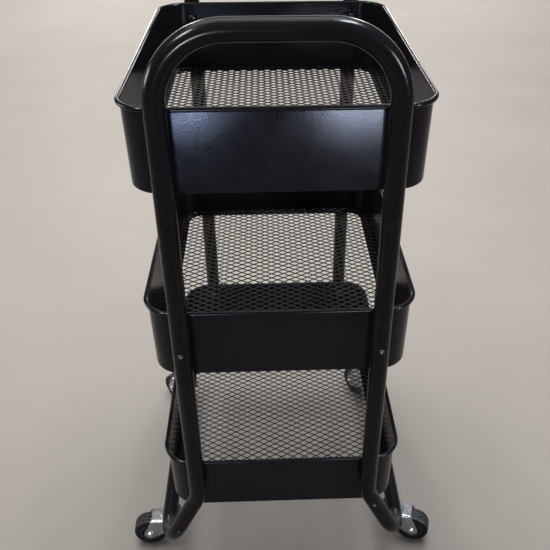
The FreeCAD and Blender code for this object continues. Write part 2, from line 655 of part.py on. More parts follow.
        # threaded insert in the wall of each leg
        ins = doc.addObject("Part::Cylinder", prefix + "_insert_blank")
        bind(ins, "Radius", S.insert_rad)
        bind(ins, "Height", S.insert_len)
        place(ins, S.leg_x, S.leg_y - tube_r + 1.0, fz, V(1, 0, 0), -90.0)
        bo = doc.addObject("Part::Cylinder", prefix + "_insert_bore")
        bind(bo, "Radius", S.bolt_tap)
        bo.Height = 40.0
        place(bo, S.leg_x, S.leg_y - 25, fz, V(1, 0, 0), -90.0)
        ic = doc.addObject("Part::Cut", prefix + "_insert")
        ic.Base, ic.Tool = ins, bo
        four_corners(ic, prefix + "_leg_nuts")


make_tray("top_tray", S.top_rim_z, S.tray_depth)
make_tray("middle_tray", S.mid_rim_z, S.tray_depth_mid)
make_tray("bottom_tray", S.low_rim_z, S.tray_depth_low)

# ------------------------------------------------------------------ casters
# Threaded bush in the underside of the floor run.
bush = doc.addObject("Part::Cylinder", "bush_blank")
bind(bush, "Radius", S.socket_rad)
bind(bush, "Height", S.socket_top_z - S.cup_top_z)
place(bush, S.caster_x, S.caster_y, S.cup_top_z)
bush_bore = doc.addObject("Part::Cylinder", "bush_bore")
bind(bush_bore, "Radius", S.socket_bore)
bush_bore.Height = 60.0
place(bush_bore, S.caster_x, S.caster_y, 40)
bush_cut = doc.addObject("Part::Cut", "bush_tapped")
bush_cut.Base, bush_cut.Tool = bush, bush_bore
four_corners(bush_cut, "caster_sockets")


def make_caster(name, sx, sy, heading, head_side):
    """One caster about its swivel axis.  In its own frame the axle trails
    along +X; heading turns the fork and wheel about the swivel axis."""
    ax, ay = S.caster_x * sx, S.caster_y * sy
    Z = V(0, 0, 1)

    # stem and kingpin in one: thread above the cup, pin and peened head below
    b = new_body(name + "_stem_body")
    s = new_sketch(b, "XZ_Plane", name + "_stem_profile")
    ftop = S.fork_top_z
    under = ftop - S.fork_sheet - 0.3
    polygon(s, [(0, under - 2.2), (S.pin_head_rad - 1.6, under - 2.2), (S.pin_head_rad, under - 1.0), (S.pin_head_rad, under),
                (S.pin_rad, under), (S.pin_rad, S.cup_under_z - 1.0), (6.5, S.cup_under_z - 1.0), (6.5, S.cup_under_z),
                (S.stem_rad, S.cup_under_z), (S.stem_rad, S.stem_top_z - 1.0), (S.stem_rad - 1.0, S.stem_top_z), (0, S.stem_top_z)])
    revolve(b, s, name + "_stem_turned")
    place(b, ax, ay, 0)
    keep(b, name + "_stem")

    # upper raceway cup: plate with a lip turned down over the balls
    b = new_body(name + "_cup_body")
    s = new_sketch(b, "XZ_Plane", name + "_cup_profile")
    polygon(s, [(S.stem_rad + 0.02, S.cup_under_z), (S.cup_rad - 2.2, S.cup_under_z), (S.cup_rad - 1.5, S.cup_under_z - 0.7),
                (S.cup_rad - 1.5, S.cup_low_z), (S.cup_rad, S.cup_low_z), (S.cup_rad, S.cup_top_z - 1.6),
                (S.cup_rad - 1.6, S.cup_top_z), (S.stem_rad + 0.02, S.cup_top_z)])
    revolve(b, s, name + "_cup_turned")
    s = new_sketch(b, "XZ_Plane", name + "_cup_race")
    circle(s, S.race_rad, S.ball_z, S.groove_rad)
    revolve(b, s, name + "_cup_groove", groove=True)
    place(b, ax, ay, 0)
    keep(b, name + "_cup")

    # ring of balls between cup and fork
    count = 14
    ball = Part.makeSphere(VAL["ball_rad"], V(VAL["race_rad"], 0, VAL["ball_z"]))
    balls = []
    for k in range(count):
        one = ball.copy()
        one.rotate(V(0, 0, 0), Z, 360.0 * k / count)
        balls.append(one)
    o = doc.addObject("Part::Feature", name + "_ball_ring")
    o.Shape = Part.makeCompound(balls)
    place(o, ax, ay, 0)
    keep(o, name + "_balls")

    # fork: a channel folded from sheet, trimmed to its side outline, with a
    # round crown; the legs sweep back to the axle
    b = new_body(name + "_fork_body")
    tr, ar, tip = S.trail, S.wheel_rad, S.leg_tip
    hw, sh = S.fork_half_w, S.fork_sheet
    front = 12.0
    C = Sketcher.Constraint
    s = new_sketch(b, "YZ_Plane", name + "_fork_channel", Q.wrap(-front))
    ro, ri = 4.0, 2.2
    yo, zo = hw, ftop                       # outer faces
    yi, zi = hw - sh, ftop - sh             # inner faces

    def ln(p, q, fixed=True):
        g = s.addGeometry(Part.LineSegment(V(Q.wrap(p[0]).num, Q.wrap(p[1]).num, 0), V(Q.wrap(q[0]).num, Q.wrap(q[1]).num, 0)), False)
        if fixed:
            pin_point(s, g, 1, p[0], p[1])
            pin_point(s, g, 2, q[0], q[1])
        return g

    def bend(cx, cz, r, a0, a1):
        c = Part.Circle(V(Q.wrap(cx).num, Q.wrap(cz).num, 0), V(0, 0, 1), r)
        g = s.addGeometry(Part.ArcOfCircle(c, math.radians(a0), math.radians(a1)), False)
        s.addConstraint(C("Radius", g, r))
        return g

    floor = 10.0
    k = [ln((yo, floor), (yo, zo - ro)), bend(yo - ro, zo - ro, ro, 0, 90), ln((yo - ro, zo), (-yo + ro, zo)),
         bend(-yo + ro, zo - ro, ro, 90, 180), ln((-yo, zo - ro), (-yo, floor)), ln((-yo, floor), (-yi, floor), False),
         ln((-yi, floor), (-yi, zi - ri)), bend(-yi + ri, zi - ri, ri, 90, 180), ln((-yi + ri, zi), (yi - ri, zi)),
         bend(yi - ri, zi - ri, ri, 0, 90), ln((yi, zi - ri), (yi, floor)), ln((yi, floor), (yo, floor), False)]
    for a, pa, c, pc in ((0, 2, 1, 1), (1, 2, 2, 1), (2, 2, 3, 1), (3, 2, 4, 1), (4, 2, 5, 1), (5, 2, 6, 1), (6, 2, 7, 2), (7, 1, 8, 1),
                         (8, 2, 9, 2), (9, 1, 10, 1), (10, 2, 11, 1), (11, 2, 0, 1)):
        s.addConstraint(C("Coincident", k[a], pa, k[c], pc))
    pad(b, s, tr + tip + front + 2.0, name + "_fork_fold")
    s = new_sketch(b, "XZ_Plane", name + "_fork_side")
    polygon(s, [(-40.0, -5.0), (tr + 40.0, -5.0), (tr + 40.0, ftop + 20.0), (-40.0, ftop + 20.0)])
    # outline in the side view; the lower front edge and the rear edge meet the
    # round tip at the axle
    a_low, a_rear = -118.0, 12.0
    cl, sl = math.cos(math.radians(a_low)), math.sin(math.radians(a_low))
    cr, sr = math.cos(math.radians(a_rear)), math.sin(math.radians(a_rear))
    P = [(Q.wrap(-front), ftop + 5.0), (Q.wrap(-front), ftop - 18.0), (tr + tip * cl, ar + tip * sl), (tr + tip * cr, ar + tip * sr),
         (tr - 2.5, ftop - 4.0), (tr - 5.0, ftop), (tr - 6.0, ftop + 5.0)]
    pts = [(p[0].num, p[1].num) for p in P]
    gl = []
    for i, j in ((0, 1), (1, 2), (3, 4), (4, 5), (5, 6), (6, 0)):
        gl.append(s.addGeometry(Part.LineSegment(V(pts[i][0], pts[i][1], 0), V(pts[j][0], pts[j][1], 0)), False))
    arc = s.addGeometry(Part.ArcOfCircle(Part.Circle(V(tr.num, ar.num, 0), V(0, 0, 1), tip.num), math.radians(a_low), math.radians(a_rear)), False)
    for a, pa, c, pc in ((gl[0], 2, gl[1], 1), (gl[1], 2, arc, 1), (arc, 2, gl[2], 1), (gl[2], 2, gl[3], 1), (gl[3], 2, gl[4], 1),
                         (gl[4], 2, gl[5], 1), (gl[5], 2, gl[0], 1)):
        s.addConstraint(C("Coincident", a, pa, c, pc))
    for g, pos, n in ((gl[0], 1, 0), (gl[0], 2, 1), (gl[1], 2, 2), (gl[2], 1, 3), (gl[2], 2, 4), (gl[3], 2, 5), (gl[4], 2, 6)):
        pin_point(s, g, pos, P[n][0], P[n][1])
    i = s.addConstraint(C("Radius", arc, tip.num))
    s.setExpression("Constraints[%d]" % i, tip.expr)
    pocket(b, s, name + "_fork_trim", midplane=True)
    # round crown around the swivel axis
    s = new_sketch(b, "XY_Plane", name + "_fork_crown", ftop - sh)
    circle(s, 0, 0, S.crown_rad)
    pad(b, s, sh, name + "_fork_crown_disc")
    s = new_sketch(b, "XY_Plane", name + "_fork_pin_hole", ftop + 1)
    circle(s, 0, 0, S.pin_bore)
    pocket(b, s, name + "_fork_pin_bore", length=6.0)
    s = new_sketch(b, "XZ_Plane", name + "_fork_race")
    circle(s, S.race_rad, S.ball_z, S.groove_rad)
    revolve(b, s, name + "_fork_groove", groove=True)
    s = new_sketch(b, "XZ_Plane", name + "_fork_axle_hole")
    circle(s, tr, ar, S.axle_rad + 0.04)
    pocket(b, s, name + "_fork_axle_bore", midplane=True)
    place(b, ax, ay, 0, Z, heading)
    keep(b, name + "_fork")

    # position of the axle in the world frame
    c, sn = math.cos(math.radians(heading)), math.sin(math.radians(heading))
    wx, wy = ax + S.trail * c, ay + S.trail * sn

    def axle_piece(suffix, make):
        """A piece turned about the axle; its own +Z is the axle, pointing to
        the bolt head."""
        bb = new_body("%s_%s_body" % (name, suffix))
        make(bb)
        doc.recompute()
        r = FreeCAD.Rotation(Z, heading).multiply(FreeCAD.Rotation(V(1, 0, 0), 90.0 * head_side))
        bb.Placement = FreeCAD.Placement(V(wx.num, wy.num, VAL["wheel_rad"]), r)
        for prop, q in (("Placement.Base.x", wx), ("Placement.Base.y", wy), ("Placement.Base.z", S.wheel_rad)):
            bind(bb, prop, q)
        return keep(bb, "%s_%s" % (name, suffix))

    fw = S.fork_half_w

    def bolt(bb):
        s = new_sketch(bb, "XZ_Plane", name + "_bolt_profile")
        # flanged, slightly domed head outside the leg; thread end at the nut
        polygon(s, [(0, -fw - 6.6), (S.axle_rad - 0.7, -fw - 6.6), (S.axle_rad, -fw - 5.9), (S.axle_rad, fw), (6.0, fw),
                    (6.0, fw + 0.7), (5.4, fw + 1.1), (4.9, fw + 2.6), (3.4, fw + 3.5), (0, fw + 3.8)])
        revolve(bb, s, name + "_bolt_turned")

    def nut(bb):
        s = new_sketch(bb, "XY_Plane", name + "_nut_plan", -fw - 5.0)
        rr = 5.77
        polygon(s, [(rr * math.cos(math.radians(60 * k + 30)), rr * math.sin(math.radians(60 * k + 30))) for k in range(6)])
        circle(s, 0, 0, S.axle_rad + 0.02)
        pad(bb, s, 5.0, name + "_nut_block")

    def hub(bb):
        s = new_sketch(bb, "XZ_Plane", name + "_hub_profile")
        h2, hr = S.hub_w / 2, S.hub_rad
        w2 = S.wheel_w / 2
        polygon(s, [(S.hub_bore, -h2), (7.0, -h2), (7.6, -h2 + 0.8), (8.2, -h2 + 5.4), (14.6, -h2 + 5.4), (15.4, -w2 + 1.6), (hr, -w2 + 1.0),
                    (hr, w2 - 1.0), (15.4, w2 - 1.6), (14.6, h2 - 5.4), (8.2, h2 - 5.4), (7.6, h2 - 0.8), (7.0, h2), (S.hub_bore, h2)])
        revolve(bb, s, name + "_hub_turned")

    def tyre(bb):
        s = new_sketch(bb, "XZ_Plane", name + "_tyre_profile")
        w2, R, hr = S.wheel_w / 2, S.wheel_rad, S.hub_rad
        # ribbed tread: three shallow grooves, round shoulders
        half = [(hr, w2 - 0.6), (hr + 2.6, w2), (R - 3.4, w2), (R - 1.5, w2 - 0.7), (R - 0.5, w2 - 2.0), (R, w2 - 3.8),
                (R, w2 - 5.8), (R - 0.9, w2 - 6.3), (R - 0.9, w2 - 7.3), (R, w2 - 7.8), (R, Q.wrap(0.9)), (R - 0.9, Q.wrap(0.5))]
        low = [(p[0], -p[1]) for p in reversed(half)]
        polygon(s, half + low)
        revolve(bb, s, name + "_tyre_turned")

    axle_piece("axle_bolt", bolt)
    axle_piece("axle_nut", nut)
    axle_piece("hub", hub)
    axle_piece("tyre", tyre)


# headings of the trailing wheels as the trolley stands
make_caster("front_right", 1, -1, -16.0, 1)
make_caster("front_left", -1, -1, 181.0, -1)
make_caster("rear_left", -1, 1, 135.0, -1)
make_caster("rear_right", 1, 1, 120.0, -1)

# ------------------------------------------------------------ check and write
doc.recompute()
bad = []
for o in doc.Objects:
    if any(w in str(o.State) for w in ("Invalid", "Error")):
        bad.append("%s %s" % (o.Name, o.State))
for name, o in PARTS:
    if o.Shape.isNull() or not o.Shape.isValid() or len(o.Shape.Solids) == 0:
        bad.append("%s shape" % name)
if len(set(n for n, o in PARTS)) != len(PARTS) or len(PARTS) > 60:
    bad.append("node names or count")
if bad:
    raise RuntimeError("failed objects: " + "; ".join(bad))
os.makedirs("parts", exist_ok=True)
for name, o in PARTS:
    o.Shape.exportStep("parts/%s.step" % name)
    print("%-28s solids %d  volume %.1f" % (name, len(o.Shape.Solids), o.Shape.Volume))
print(len(PARTS), "nodes")
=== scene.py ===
"""Looks of the rolling salon trolley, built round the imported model.

Metres, +Z up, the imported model's own frame.  "front" is the -Y end.
"""
import json
import math

import bmesh
import bpy
import numpy as np
from mathutils import Matrix, Vector


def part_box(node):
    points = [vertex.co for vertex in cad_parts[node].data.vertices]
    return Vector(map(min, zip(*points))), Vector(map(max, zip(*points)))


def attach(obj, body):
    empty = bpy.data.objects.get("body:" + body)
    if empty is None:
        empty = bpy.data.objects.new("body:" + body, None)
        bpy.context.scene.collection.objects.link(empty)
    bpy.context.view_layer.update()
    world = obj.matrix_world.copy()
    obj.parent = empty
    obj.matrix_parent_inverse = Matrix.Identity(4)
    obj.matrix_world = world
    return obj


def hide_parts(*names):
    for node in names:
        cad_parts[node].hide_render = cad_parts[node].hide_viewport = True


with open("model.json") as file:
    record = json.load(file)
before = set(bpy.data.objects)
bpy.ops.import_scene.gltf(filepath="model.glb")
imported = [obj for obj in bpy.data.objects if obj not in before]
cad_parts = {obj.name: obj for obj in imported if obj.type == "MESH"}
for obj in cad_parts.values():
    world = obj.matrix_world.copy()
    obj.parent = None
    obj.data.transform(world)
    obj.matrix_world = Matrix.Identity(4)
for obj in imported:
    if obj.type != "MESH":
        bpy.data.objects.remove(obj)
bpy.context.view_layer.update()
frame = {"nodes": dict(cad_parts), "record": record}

NODES = frame["nodes"]
scene = bpy.context.scene
CORNERS = ("front_right", "front_left", "rear_left", "rear_right")
TRAYS = ("top_tray", "middle_tray", "bottom_tray")
JOINTS = {j["name"]: j for j in frame["record"]["behaviour"]["joints"]}
AXLES = {c: Vector(JOINTS[c + "_wheel_spin"]["axis"]).normalized() for c in CORNERS}


# ------------------------------------------------------------------ materials
class Nodes:
    """Small helper to write a node tree in few lines."""

    def __init__(self, name):
        self.m = bpy.data.materials.new(name)
        self.m.use_nodes = True
        self.t = self.m.node_tree
        self.bsdf = next(n for n in self.t.nodes if n.type == "BSDF_PRINCIPLED")
        self.out = next(n for n in self.t.nodes if n.type == "OUTPUT_MATERIAL")
        tc = self.t.nodes.new("ShaderNodeTexCoord")
        self.obj = tc.outputs["Object"]

    def link(self, a, b):
        self.t.links.new(a, b)

    def set(self, **kw):
        for k, v in kw.items():
            self.bsdf.inputs[k.replace("_", " ")].default_value = v

    def mapping(self, vec=None, scale=(1, 1, 1), rot=(0, 0, 0), loc=(0, 0, 0)):
        n = self.t.nodes.new("ShaderNodeMapping")
        n.inputs["Scale"].default_value = scale
        n.inputs["Rotation"].default_value = rot
        n.inputs["Location"].default_value = loc
        self.link(vec or self.obj, n.inputs["Vector"])
        return n.outputs["Vector"]

    def noise(self, scale, detail=2.0, rough=0.5, vec=None, dist=0.0):
        n = self.t.nodes.new("ShaderNodeTexNoise")
        n.inputs["Scale"].default_value = scale
        n.inputs["Detail"].default_value = detail
        n.inputs["Roughness"].default_value = rough
        n.inputs["Distortion"].default_value = dist
        self.link(vec or self.obj, n.inputs["Vector"])
        return n.outputs["Fac"]

    def voronoi(self, scale, vec=None, feature="F1"):
        n = self.t.nodes.new("ShaderNodeTexVoronoi")
        n.feature = feature
        n.inputs["Scale"].default_value = scale
        self.link(vec or self.obj, n.inputs["Vector"])
        return n.outputs["Distance"]

    def ramp(self, fac, stops, interp="LINEAR"):
        n = self.t.nodes.new("ShaderNodeValToRGB")
        n.color_ramp.interpolation = interp
        el = n.color_ramp.elements
        while len(el) < len(stops):
            el.new(0.5)
        for e, (p, c) in zip(el, stops):
            e.position = p
            e.color = (c, c, c, 1) if isinstance(c, (int, float)) else (*c, 1)
        self.link(fac, n.inputs["Fac"])
        return n.outputs["Color"]

    def math(self, op, a, b=None, c=None, clamp=False):
        n = self.t.nodes.new("ShaderNodeMath")
        n.operation = op
        n.use_clamp = clamp
        for i, v in enumerate((a, b, c)):
            if v is None:
                continue
            if isinstance(v, (int, float)):
                n.inputs[i].default_value = v
            else:
                self.link(v, n.inputs[i])
        return n.outputs[0]

    def mixc(self, fac, a, b):
        n = self.t.nodes.new("ShaderNodeMix")
        n.data_type = "RGBA"
        for sock, v in ((n.inputs[0], fac), (n.inputs[6], a), (n.inputs[7], b)):
            if isinstance(v, (int, float)):
                sock.default_value = v
            elif isinstance(v, tuple):
                sock.default_value = (*v, 1)
            else:
                self.link(v, sock)
        return n.outputs[2]

    def mapr(self, v, a, b, c, d):
        n = self.t.nodes.new("ShaderNodeMapRange")
        self.link(v, n.inputs["Value"])
        for k, x in (("From Min", a), ("From Max", b), ("To Min", c), ("To Max", d)):
            n.inputs[k].default_value = x
        return n.outputs[0]

    def sep(self, vec=None):
        n = self.t.nodes.new("ShaderNodeSeparateXYZ")
        self.link(vec or self.obj, n.inputs[0])
        return n.outputs

    def normal(self):
        return self.t.nodes.new("ShaderNodeNewGeometry").outputs["Normal"]

    def bump(self, height, strength, distance, normal=None):
        n = self.t.nodes.new("ShaderNodeBump")
        n.inputs["Strength"].default_value = strength
        n.inputs["Distance"].default_value = distance
        self.link(height, n.inputs["Height"])
        if normal is not None:
            self.link(normal, n.inputs["Normal"])
        return n.outputs["Normal"]


def powder_coat(name, base, rough=0.22, peel=0.30, dust=0.5, spec=0.16, peel_size=1.0, scuffs=()):
    """Black powder coat: orange peel, faint mottling, dust on top faces, a few
    scuffs through to grey."""
    k = Nodes(name)
    big = k.noise(7.0, 3.0)
    mott = k.noise(90.0, 4.0, 0.6)
    v = k.math("MULTIPLY_ADD", mott, 0.4, k.math("MULTIPLY", big, 0.6))
    lo = tuple(c * 0.75 for c in base)
    hi = tuple(c * 1.30 for c in base)
    col = k.ramp(v, [(0.30, lo), (0.70, hi)])
    # fine dust settles on what faces up
    up = k.mapr(k.sep(k.normal())[2], 0.55, 1.0, 0.0, 1.0)
    specks = k.ramp(k.noise(700.0, 3.0, 0.7), [(0.60, 0.0), (0.74, 1.0)])
    film = k.ramp(k.noise(16.0, 5.0, 0.65), [(0.45, 0.0), (0.80, 1.0)])
    dusty = k.math("MULTIPLY", k.math("MULTIPLY", up, dust), k.math("MULTIPLY_ADD", film, 0.035, k.math("MULTIPLY", specks, 0.07)), clamp=True)
    col = k.mixc(dusty, col, (0.30, 0.28, 0.26))
    # scuffs: short stretched marks, denser low down where feet and bins hit
    st = k.mapping(scale=(26, 26, 150), rot=(0.5, 0.25, 0.3))
    marks = k.ramp(k.noise(1.0, 2.0, 0.6, st), [(0.745, 0.0), (0.775, 1.0)])
    st2 = k.mapping(scale=(170, 40, 30), rot=(0.1, 0.9, 0.5))
    marks2 = k.ramp(k.noise(1.0, 2.0, 0.6, st2), [(0.755, 0.0), (0.785, 1.0)])
    m = k.math("MAXIMUM", marks, marks2)
    low = k.mapr(k.sep()[2], 0.02, 0.30, 0.9, 0.0)
    m = k.math("MULTIPLY", k.math("MULTIPLY", m, low), 0.45)
    # knocks at known spots: bright flecks inside a small ball
    for spot, size in scuffs:
        d = k.t.nodes.new("ShaderNodeVectorMath")
        d.operation = "DISTANCE"
        k.link(k.obj, d.inputs[0])
        d.inputs[1].default_value = spot
        ball = k.mapr(d.outputs["Value"], size, size * 0.45, 0.0, 1.0)
        fleck = k.ramp(k.noise(1.0, 2.0, 0.6, k.mapping(scale=(420, 420, 150), rot=(0.0, 0.45, 0.0))), [(0.56, 0.0), (0.61, 1.0)])
        m = k.math("MAXIMUM", m, k.math("MULTIPLY", k.math("MULTIPLY", ball, fleck), 1.6, clamp=True))
    col = k.mixc(m, col, (0.20, 0.195, 0.19))
    k.link(col, k.bsdf.inputs["Base Color"])
    r = k.mapr(k.noise(38.0, 4.0, 0.6), 0.3, 0.7, rough - 0.035, rough + 0.045)
    r = k.math("ADD", r, k.math("MULTIPLY", k.math("ADD", dusty, m), 0.6), clamp=True)
    k.link(r, k.bsdf.inputs["Roughness"])
    orange = k.noise(560.0 / peel_size, 1.0, 0.4)
    fine = k.noise(1500.0 / peel_size, 1.0, 0.5)
    h = k.math("MULTIPLY_ADD", fine, 0.14, orange)
    k.link(k.bump(h, peel, 0.00012), k.bsdf.inputs["Normal"])
    k.bsdf.inputs["Specular IOR Level"].default_value = spec
    k.set(IOR=1.5)
    return k.m


def zinc(name, tint=(0.42, 0.45, 0.49), rough=0.30, spangle=0.5):
    """Zinc plate: satin metal, faint blue and straw passivate, dull patches."""
    k = Nodes(name)
    n1 = k.noise(75.0, 4.0, 0.6)
    n2 = k.noise(22.0, 2.0)
    col = k.ramp(n1, [(0.25, tuple(c * 0.70 for c in tint)), (0.55, tint), (0.8, tuple(min(1, c * 1.20) for c in tint))])
    col = k.mixc(k.ramp(n2, [(0.50, 0.0), (0.72, 0.35)]), col, (0.52, 0.47, 0.40))
    col = k.mixc(k.ramp(k.noise(420.0, 3.0, 0.7), [(0.62, 0.0), (0.72, 0.6)]), col, (0.16, 0.16, 0.17))
    # painted shade: the upper faces are darkened and dulled, a dark reflection painted into the colour
    up = k.mapr(k.sep(k.normal())[2], 0.80, 0.98, 0.0, 1.0)
    painted_top_shade = k.math("MULTIPLY", up, k.ramp(k.noise(60.0, 3.0, 0.6), [(0.30, 0.45), (0.62, 0.88)]))
    col = k.mixc(painted_top_shade, col, (0.075, 0.072, 0.070))
    k.link(col, k.bsdf.inputs["Base Color"])
    r = k.mapr(k.noise(130.0, 4.0, 0.6), 0.3, 0.7, rough - 0.08, rough + 0.12)
    k.link(k.math("ADD", r, k.math("MULTIPLY", painted_top_shade, 0.18)), k.bsdf.inputs["Roughness"])
    st = k.mapping(scale=(900, 900, 70))
    h = k.math("MULTIPLY_ADD", k.noise(1.0, 2.0, 0.5, st), spangle, k.noise(240.0, 3.0, 0.6))
    k.link(k.bump(h, 0.22, 0.00022), k.bsdf.inputs["Normal"])
    k.set(Metallic=1.0)
    return k.m


def steel(name, tint=(0.70, 0.71, 0.73), rough=0.18):
    k = Nodes(name)
    col = k.ramp(k.noise(160.0, 3.0), [(0.3, tuple(c * 0.88 for c in tint)), (0.7, tint)])
    k.link(col, k.bsdf.inputs["Base Color"])
    k.link(k.mapr(k.noise(220.0, 3.0), 0.3, 0.7, rough - 0.05, rough + 0.07), k.bsdf.inputs["Roughness"])
    k.link(k.bump(k.noise(700.0, 2.0), 0.08, 0.0001), k.bsdf.inputs["Normal"])
    k.set(Metallic=1.0)
    return k.m


def plastic(name, base, rough=0.42, grain=900.0, gloss=0.5):
    k = Nodes(name)
    col = k.ramp(k.noise(45.0, 3.0), [(0.3, tuple(c * 0.8 for c in base)), (0.7, tuple(c * 1.25 for c in base))])
    k.link(col, k.bsdf.inputs["Base Color"])
    k.link(k.mapr(k.noise(120.0, 4.0), 0.3, 0.7, rough - 0.05, rough + 0.07), k.bsdf.inputs["Roughness"])
    k.link(k.bump(k.noise(grain, 2.0), 0.12, 0.00015), k.bsdf.inputs["Normal"])
    k.bsdf.inputs["Specular IOR Level"].default_value = gloss
    return k.m


def tyre_mat(name):
    """Dark thermoplastic rubber: satin side walls, tread dulled by grey dust."""
    k = Nodes(name)
    base = k.ramp(k.noise(70.0, 4.0, 0.6), [(0.3, (0.0022, 0.0022, 0.0040)), (0.7, (0.0036, 0.0036, 0.0068))])
    # dust sits on the tread, which faces away from the wheel's axle
    axial = []
    for corner in CORNERS:
        lo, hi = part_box(corner + "_tyre")
        ax = AXLES[corner]
        mid = (lo + hi) / 2
        n = k.t.nodes.new("ShaderNodeVectorMath")
        n.operation = "SUBTRACT"
        k.link(k.obj, n.inputs[0])
        n.inputs[1].default_value = mid
        d = k.t.nodes.new("ShaderNodeVectorMath")
        d.operation = "LENGTH"
        k.link(n.outputs[0], d.inputs[0])
        near = k.math("LESS_THAN", d.outputs["Value"], 0.035)
        dot = k.t.nodes.new("ShaderNodeVectorMath")
        dot.operation = "DOT_PRODUCT"
        k.link(k.normal(), dot.inputs[0])
        dot.inputs[1].default_value = ax
        side = k.math("MULTIPLY", k.math("ABSOLUTE", dot.outputs["Value"]), near)
        axial.append(side)
    tot = axial[0]
    for a in axial[1:]:
        tot = k.math("ADD", tot, a)
    tread = k.mapr(tot, 0.85, 0.45, 0.06, 1.0)
    dust = k.ramp(k.noise(300.0, 5.0, 0.7), [(0.36, 0.10), (0.66, 1.0)])
    film = k.ramp(k.noise(34.0, 3.0), [(0.30, 0.35), (0.65, 1.0)])
    d = k.math("MULTIPLY", k.math("MULTIPLY", dust, film), tread)
    col = k.mixc(d, base, (0.075, 0.073, 0.068))
    k.link(col, k.bsdf.inputs["Base Color"])
    k.link(k.math("ADD", k.mapr(k.noise(150.0, 3.0), 0.3, 0.7, 0.30, 0.40), k.math("MULTIPLY", d, 0.35)), k.bsdf.inputs["Roughness"])
    h = k.math("MULTIPLY_ADD", k.noise(1500.0, 2.0), 0.5, k.noise(300.0, 3.0, 0.6))
    k.link(k.bump(h, 0.20, 0.0002), k.bsdf.inputs["Normal"])
    k.bsdf.inputs["Specular IOR Level"].default_value = 0.11
    k.set(IOR=1.5)
    return k.m


# spots on the lower right leg and at the foot of the left one
SCUFFS = (((0.1405, -0.2555, 0.181), 0.0065), ((0.134, -0.2560, 0.206), 0.0050), ((-0.160, -0.2560, 0.128), 0.0060), ((0.176, -0.2550, 0.098), 0.0060))

M = {
    "frame_black": powder_coat("frame_coat", (0.0036, 0.0036, 0.0040), rough=0.19, peel=0.20, spec=0.13, scuffs=SCUFFS),
    "tray_black": powder_coat("tray_coat", (0.0036, 0.0035, 0.0040), rough=0.15, peel=0.62, spec=0.12, peel_size=0.90),
    "mesh_black": powder_coat("mesh_coat", (0.0034, 0.0033, 0.0036), rough=0.20, peel=0.08, dust=0.35, spec=0.13),
    "plain_steel": steel("plain_steel", (0.52, 0.52, 0.53), 0.35),
    "screw_zinc": steel("screw_zinc", (0.72, 0.73, 0.75), 0.20),
    "screw_black": powder_coat("screw_black", (0.007, 0.007, 0.0075), rough=0.24, peel=0.06, dust=0.2, spec=0.5),
    "washer_black": plastic("washer_nylon", (0.004, 0.004, 0.0045), rough=0.16, grain=1200.0),
    "spacer_black": plastic("spacer_nylon", (0.008, 0.008, 0.0085), rough=0.45),
    "caster_zinc": zinc("caster_zinc"),
    "bolt_zinc": steel("bolt_zinc", (0.66, 0.67, 0.70), 0.17),
    "ball_steel": steel("ball_steel", (0.70, 0.70, 0.71), 0.08),
    "hub_black": plastic("hub_plastic", (0.008, 0.008, 0.011), rough=0.34),
    "tyre_rubber": tyre_mat("tyre_rubber"),
}
SLOT = {s["node"]: s["material_slot"] for s in frame["record"]["subparts"]}
for n, o in NODES.items():
    o.data.materials.clear()
    o.data.materials.append(M[SLOT[n]])


# ------------------------------------------------------------------ geometry
PIECES = []


def new_piece(name, verts, faces, slot, body="frame", smooth=True):
    me = bpy.data.meshes.new(name)
    me.from_pydata([tuple(v) for v in verts], [], faces)
    me.validate()
    me.update()
    if smooth:
        me.polygons.foreach_set("use_smooth", [True] * len(me.polygons))
    o = bpy.data.objects.new(name, me)
    scene.collection.objects.link(o)
    me.materials.append(M[slot])
    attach(o, body)
    PIECES.append(o)
    return o


def auto_smooth(o, angle=35.0):
    me = o.data
    bm = bmesh.new()
    bm.from_mesh(me)
    for e in bm.edges:
        e.smooth = len(e.link_faces) == 2 and e.calc_face_angle(0.0) < math.radians(angle)
    bm.to_mesh(me)
    bm.free()


# Expanded-metal floors.  Each strand is a bar that waves from bond to bond;
# neighbouring strands touch at the bonds, half a diamond apart in turn.
LWD, SWD = 0.0190, 0.0117
STRAND_W, STRAND_T = 0.00138, 0.00078


